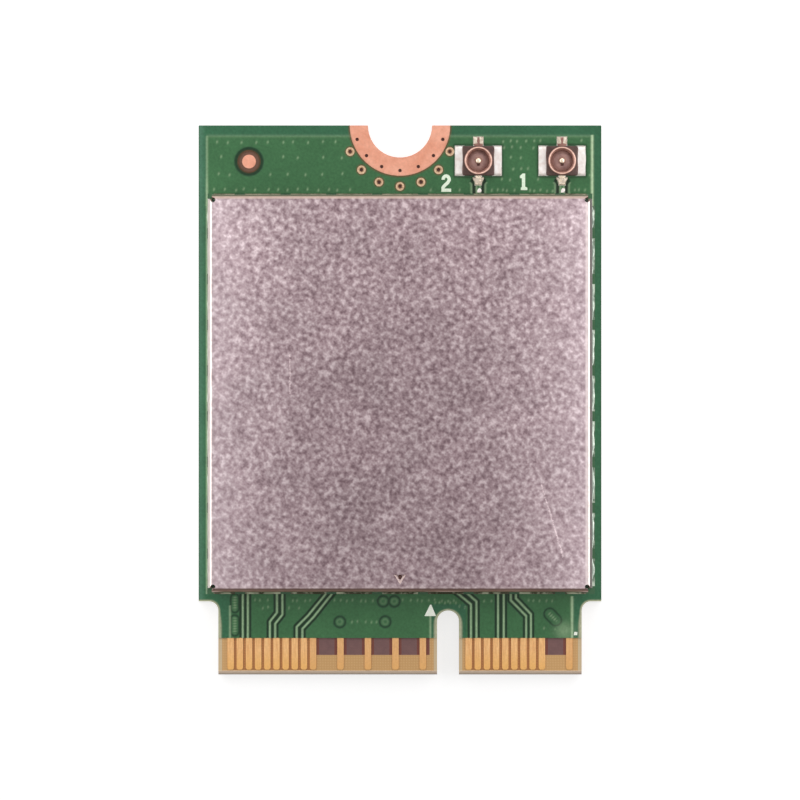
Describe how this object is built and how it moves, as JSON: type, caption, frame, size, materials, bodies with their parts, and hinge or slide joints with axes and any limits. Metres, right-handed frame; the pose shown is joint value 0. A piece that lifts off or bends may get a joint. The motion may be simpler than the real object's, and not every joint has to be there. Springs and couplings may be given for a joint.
{
  "type": "laptop wifi card",
  "caption": "Flat wireless card with a keyed gold card edge, a half-round plated screw notch, one screening can and push-on antenna jacks.",
  "frame": {"origin": "on the plane of the underside, under the middle of the board's width and length", "axes": "+X across the card, towards the antenna jacks; +Y from the gold card edge to the screw notch; +Z from the underside up to the shield"},
  "size_m": [0.022, 0.03, 0.0022],
  "materials": {
    "laminate": "glass-fibre epoxy, tan and slightly translucent",
    "solder_mask": "green, semi-gloss, with copper relief showing",
    "bare_copper": "pinkish plated copper, satin",
    "gold_contacts": "gold plate, satin",
    "shield_metal": "matt sandblasted grain, bright at the bends",
    "solder": "bright solder",
    "jack_metal": "bright plated contact metal",
    "jack_plastic": "dark brown moulded plastic",
    "chip_package": "black moulded package",
    "ceramic": "tan ceramic",
    "ferrite": "dark grey ferrite",
    "heat_pad": "soft grey silicone"
  },
  "bodies": {
    "root": {"antenna_diplexers": "ceramic", "antenna_jack_1_housing": "jack_plastic", "antenna_jack_1_pin": "jack_metal", "antenna_jack_1_shell": "jack_metal", "antenna_jack_2_housing": "jack_plastic", "antenna_jack_2_pin": "jack_metal", "antenna_jack_2_shell": "jack_metal", "antenna_lands": "bare_copper", "antenna_solder": "solder", "board_half_eyelet": "bare_copper", "board_laminate": "laminate", "capacitors": "ceramic", "contact_fingers_bottom": "gold_contacts", "contact_fingers_top": "gold_contacts", "crystal_base": "ceramic", "crystal_lid": "jack_metal", "end_caps": "solder", "fiducial_dot": "bare_copper", "front_end_module_1": "chip_package", "front_end_module_2": "chip_package", "ground_vias": "bare_copper", "part_solder": "solder", "power_inductors": "ferrite", "radio_chip": "chip_package", "resistors": "chip_package", "shield_can": "shield_metal", "shield_pads": "solder", "shield_solder": "solder", "solder_mask_bottom": "solder_mask", "solder_mask_top": "solder_mask", "test_pads": "bare_copper", "thermal_pad": "heat_pad"}
  },
  "joints": []
}
